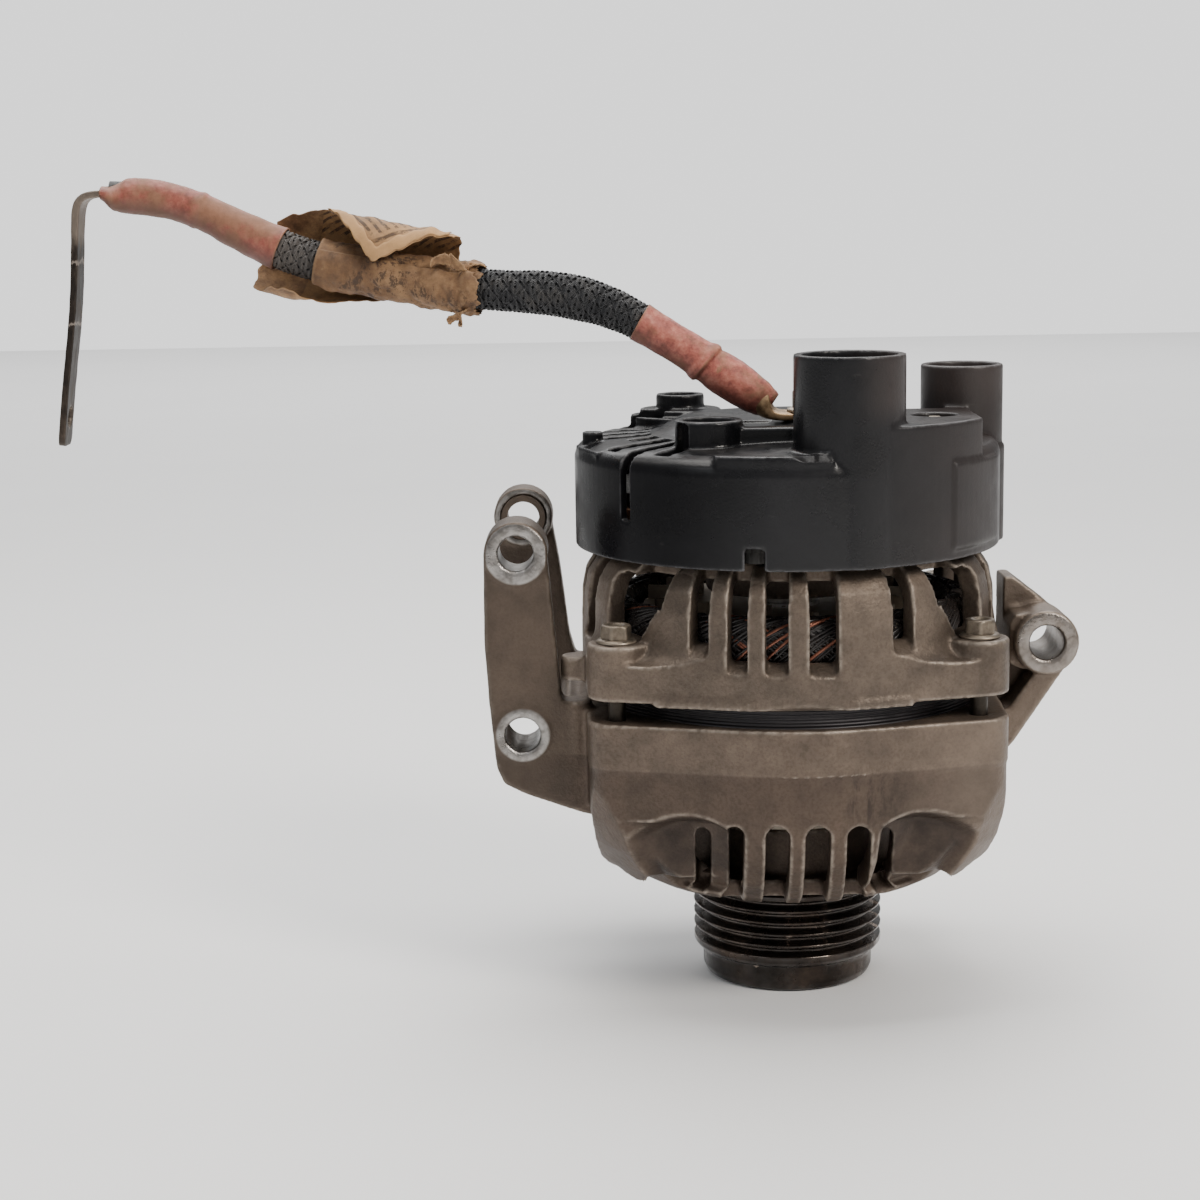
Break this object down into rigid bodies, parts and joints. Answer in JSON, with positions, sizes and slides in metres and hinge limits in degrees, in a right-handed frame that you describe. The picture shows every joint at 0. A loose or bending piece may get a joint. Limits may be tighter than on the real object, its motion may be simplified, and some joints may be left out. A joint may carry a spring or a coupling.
{
  "type": "car alternator",
  "caption": "Car alternator with vented two-part cast housing, black rear cover with two tall sockets, ribbed belt pulley, side lugs and a battery cable.",
  "frame": {"origin": "centre of the pulley's outer face, on the shaft axis", "axes": "+Z along the rotor shaft from the pulley to the rear cover, +X towards the single mounting ear, +Y along the mounting bores from the near plate of the two-plate bracket to its far plate"},
  "size_m": [0.2997, 0.1258, 0.243],
  "materials": {
    "cast_aluminium": "rough cast, stained",
    "black_plastic": "satin moulded",
    "steel": "machined",
    "zinc_steel": "zinc plated, dulled",
    "laminated_steel": "varnished laminations",
    "copper": "enamelled wire",
    "pulley_steel": "oily turned steel",
    "pole_iron": "forged",
    "brown_plastic": "moulded",
    "carbon": "pressed carbon",
    "plate_aluminium": "stamped",
    "tinned_brass": "tinned, tarnished",
    "red_shrink": "matt",
    "braid": "woven",
    "cable_rubber": "smooth",
    "kraft_paper": "crumpled paper",
    "bar_metal": "blackened"
  },
  "bodies": {
    "housing": {"front_housing": "cast_aluminium", "pivot_bushing": "steel", "rear_housing": "cast_aluminium", "through_bolts": "zinc_steel", "stator_core": "laminated_steel", "stator_winding": "copper", "front_bearing_outer_race": "steel", "rear_bearing_outer_race": "steel", "rear_bearing_sleeve": "brown_plastic", "front_bearing_retainer": "zinc_steel", "retainer_screws": "zinc_steel", "negative_heat_sink": "plate_aluminium", "positive_heat_sink": "plate_aluminium", "rectifier_board": "brown_plastic", "rectifier_diodes": "steel", "output_stud": "zinc_steel", "voltage_regulator": "black_plastic", "brush_spring_lower": "steel", "brush_spring_upper": "steel", "connector_blades": "tinned_brass", "rear_cover": "black_plastic", "cover_studs": "zinc_steel", "cover_nuts": "zinc_steel", "battery_cable": "cable_rubber", "heat_shrink_lug_end": "red_shrink", "braided_sleeve": "braid", "heat_shrink_bar_end": "red_shrink", "paper_tag": "kraft_paper", "cable_terminal": "tinned_brass", "output_nut": "zinc_steel", "terminal_bar": "bar_metal"},
    "rotor": {"rotor_shaft": "steel", "shaft_spacer": "steel", "front_claw_pole": "pole_iron", "rear_claw_pole": "pole_iron", "field_bobbin": "brown_plastic", "field_coil": "copper", "front_fan": "zinc_steel", "rear_fan": "zinc_steel", "slip_ring_insulator": "brown_plastic", "slip_rings": "copper", "front_bearing_inner_race": "steel", "rear_bearing_inner_race": "steel", "clutch_hub": "pulley_steel", "clutch_rollers": "steel", "pulley_bearings": "steel"},
    "pulley": {"pulley_ring": "pulley_steel", "pulley_dust_cap": "black_plastic"},
    "front_ball_set": {"front_bearing_balls": "steel"},
    "rear_ball_set": {"rear_bearing_balls": "steel"},
    "lower_brush": {"carbon_brush_lower": "carbon"},
    "upper_brush": {"carbon_brush_upper": "carbon"}
  },
  "joints": [
    {"name": "rotor_spin", "type": "hinge", "parent": "housing", "child": "rotor", "pos_m": [0, 0, 0.045], "axis": [0, 0, 1], "continuous": true},
    {"name": "pulley_overrun", "type": "hinge", "parent": "rotor", "child": "pulley", "pos_m": [0, 0, 0.016], "axis": [0, 0, 1], "continuous": true},
    {"name": "front_balls_orbit", "type": "hinge", "parent": "housing", "child": "front_ball_set", "pos_m": [0, 0, 0.045], "axis": [0, 0, 1], "continuous": true},
    {"name": "rear_balls_orbit", "type": "hinge", "parent": "housing", "child": "rear_ball_set", "pos_m": [0, 0, 0.1265], "axis": [0, 0, 1], "continuous": true},
    {"name": "lower_brush_slide", "type": "slide", "parent": "housing", "child": "lower_brush", "axis": [1, 0, 0], "range_m": [0, 0.004], "stiffness_N_per_m": 60, "deforming": ["brush_spring_lower"]},
    {"name": "upper_brush_slide", "type": "slide", "parent": "housing", "child": "upper_brush", "axis": [1, 0, 0], "range_m": [0, 0.004], "stiffness_N_per_m": 60, "deforming": ["brush_spring_upper"]}
  ],
  "couplings": [
    {"joint": "front_balls_orbit", "follows": "rotor_spin", "ratio": 0.37},
    {"joint": "rear_balls_orbit", "follows": "rotor_spin", "ratio": 0.38}
  ]
}
